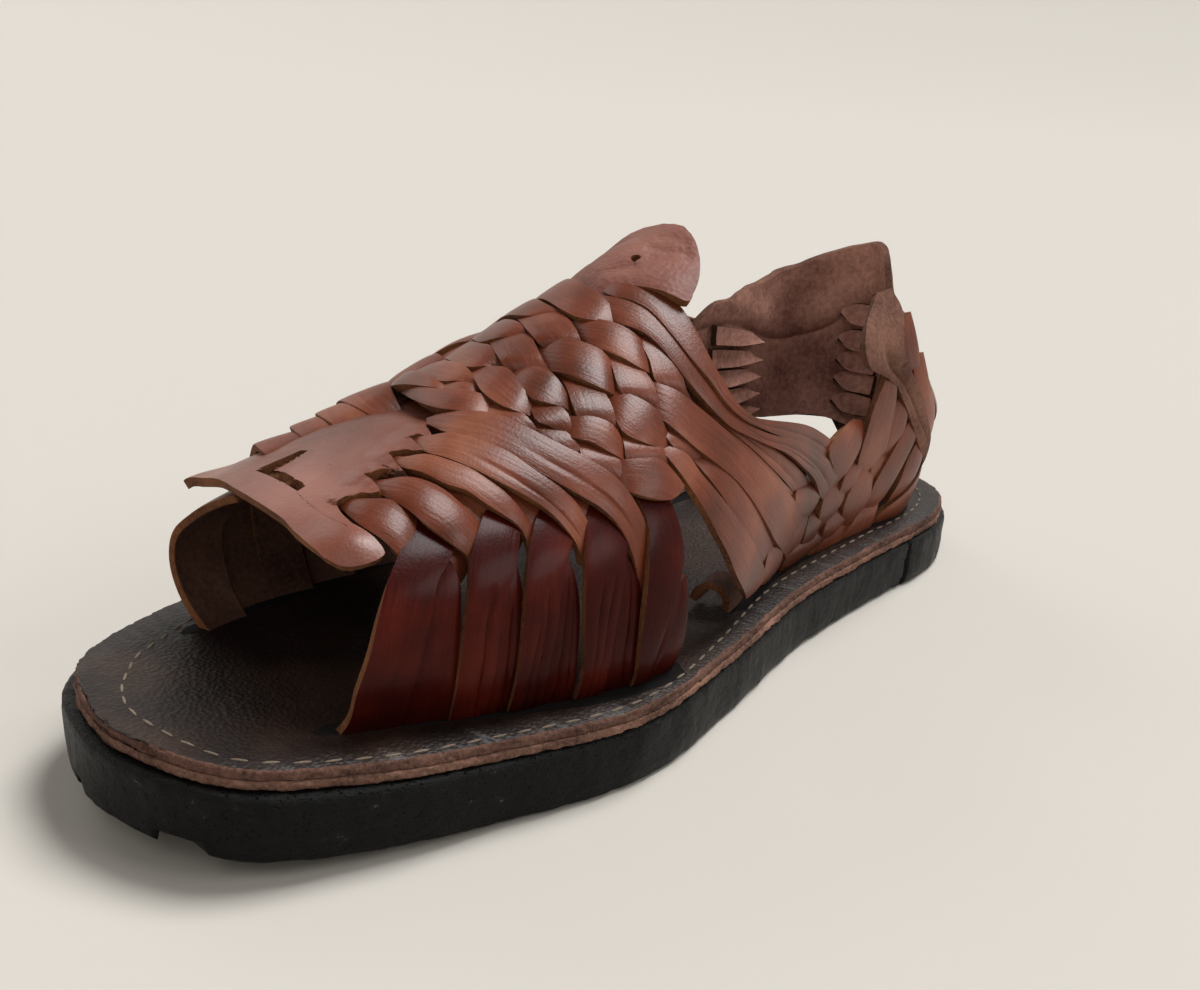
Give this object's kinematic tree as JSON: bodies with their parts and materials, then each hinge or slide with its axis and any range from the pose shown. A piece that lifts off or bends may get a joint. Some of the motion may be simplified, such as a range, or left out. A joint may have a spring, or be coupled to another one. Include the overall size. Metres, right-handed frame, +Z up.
{
  "type": "woven leather sandal",
  "caption": "Open-toe woven leather sandal for the left foot: plaited straps over a slotted toe plate, a heel counter and a stitched leather footbed on a rubber tread.",
  "frame": {"origin": "on the floor under the middle of the sole's bounding box", "axes": "+Z up, toe towards -Y, outer side of the left foot towards +X"},
  "size_m": [0.1078, 0.2848, 0.1069],
  "materials": {
    "rubber": "cut tyre rubber, satin black, pitted on the side",
    "edge_leather": "raw cut edge, fuzzy pink-brown",
    "footbed_leather": "very dark brown, fine grain, soft sheen",
    "strap_leather": "glossy red-brown, waxed",
    "plate_leather": "glossy red-brown with a fine grain",
    "counter_leather": "matt flesh side, rough nap"
  },
  "bodies": {
    "root": {"outsole": "rubber", "midsole": "edge_leather", "insole": "footbed_leather", "upper_weave": "strap_leather", "vamp_plate": "plate_leather", "heel_counter": "counter_leather"}
  },
  "joints": []
}
